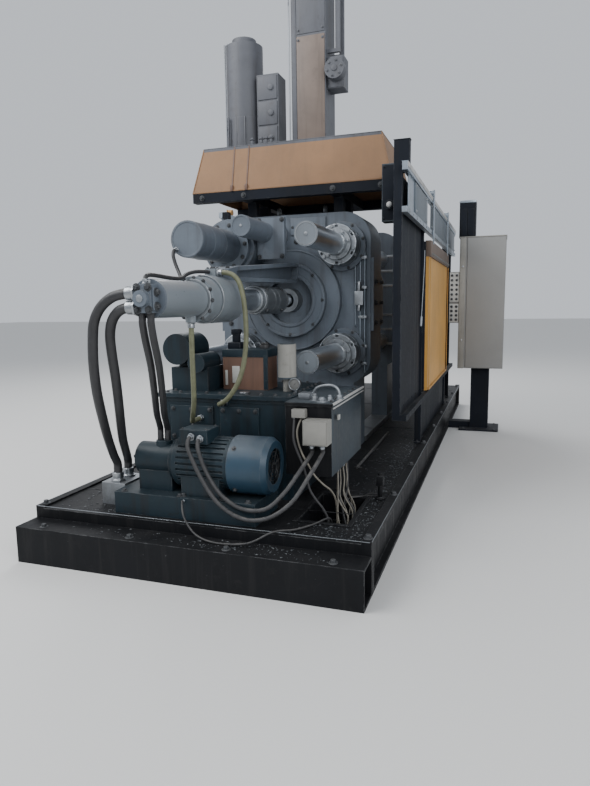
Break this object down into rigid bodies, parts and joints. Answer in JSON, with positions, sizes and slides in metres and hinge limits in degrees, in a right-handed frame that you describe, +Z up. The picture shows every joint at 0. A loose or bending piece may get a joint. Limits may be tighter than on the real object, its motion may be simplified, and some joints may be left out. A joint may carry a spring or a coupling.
{
  "type": "cold-chamber die casting machine",
  "caption": "Horizontal cold-chamber die casting machine with tie-bar clamp, injection cylinder, fume hood, spray column, sliding guard door and hydraulic unit.",
  "frame": {"origin": "on the floor, in the middle of the base's underside", "axes": "+X along the machine from the injection end to the clamp end, -Y towards the operator's side, +Z up"},
  "size_m": [7.31, 2.905, 4.385],
  "materials": {
    "base_black": "oily near-black paint, worn edges",
    "platen_blue": "slate blue-grey paint, dusty and oily",
    "bar_steel": "ground bright steel, light oil film",
    "dark_steel": "dark oiled steel",
    "cylinder_blue": "bright steel with a worn blue tint",
    "tank_teal": "dark teal paint, dirty",
    "side_grey": "stained blue-grey steel",
    "cowl_blue": "cyan-blue paint, satin",
    "hood_orange": "orange paint, dusty",
    "door_orange": "orange-yellow paint, satin",
    "guard_navy": "dark navy paint",
    "rail_light": "light anodised section, scuffed",
    "box_cream": "cream paint, slightly yellowed",
    "box_brown": "brown-orange paint, oily",
    "column_grey": "dark grey paint, dusty",
    "cabinet_beige": "beige powder coat",
    "panel_grey": "light grey panel",
    "gauge_steel": "plated case",
    "hose_black": "black rubber hose",
    "hose_yellow": "yellow-green hose, dusty",
    "cable_grey": "grey cable sheath, dusty"
  },
  "bodies": {
    "machine": {"bed_frame": "base_black", "front_step": "base_black", "slide_ways": "dark_steel", "fixed_platen": "platen_blue", "moving_platen": "platen_blue", "end_platen": "platen_blue", "tie_bars": "bar_steel", "bar_nuts": "dark_steel", "end_nuts": "dark_steel", "front_links": "dark_steel", "rear_links": "dark_steel", "drive_links": "dark_steel", "toggle_pins": "dark_steel", "crosshead": "dark_steel", "closing_cylinder": "platen_blue", "centre_flange": "platen_blue", "shot_sleeve": "dark_steel", "shot_cylinder": "cylinder_blue", "cylinder_cap": "platen_blue", "cylinder_arm": "platen_blue", "feed_pipes": "hose_black", "bar_puller": "platen_blue", "core_cylinder": "platen_blue", "fume_hood": "hood_orange", "hood_beams": "guard_navy", "spray_column": "column_grey", "spray_drive": "column_grey", "pressure_bottle": "column_grey", "valve_box": "column_grey", "guard_rails": "rail_light", "guard_posts": "guard_navy", "lamp_box": "side_grey", "operator_guard": "guard_navy", "rear_guard": "guard_navy", "rear_door": "door_orange", "oil_tank": "tank_teal", "tank_lid": "tank_teal", "side_box": "side_grey", "junction_box": "box_cream", "lubricator": "box_brown", "oil_filter": "box_cream", "pressure_gauge": "gauge_steel", "motor_base": "tank_teal", "motor": "tank_teal", "motor_cowl": "cowl_blue", "oil_pump": "tank_teal", "valve_block": "tank_teal", "control_cabinet": "cabinet_beige", "button_panel": "panel_grey", "top_box": "guard_navy", "cabinet_stand": "guard_navy", "hose_manifold": "dark_steel", "pressure_hoses": "hose_black", "oil_hoses": "hose_yellow", "machine_cables": "cable_grey"},
    "door": {"sliding_door": "door_orange", "door_hangers": "rail_light"},
    "plunger": {"plunger_rod": "bar_steel", "plunger_coupling": "dark_steel"}
  },
  "joints": [
    {"name": "door_slide", "type": "slide", "parent": "machine", "child": "door", "axis": [1, 0, 0], "range_m": [0, 1.1]},
    {"name": "plunger_slide", "type": "slide", "parent": "machine", "child": "plunger", "axis": [1, 0, 0], "range_m": [-0.36, 0.19]}
  ]
}
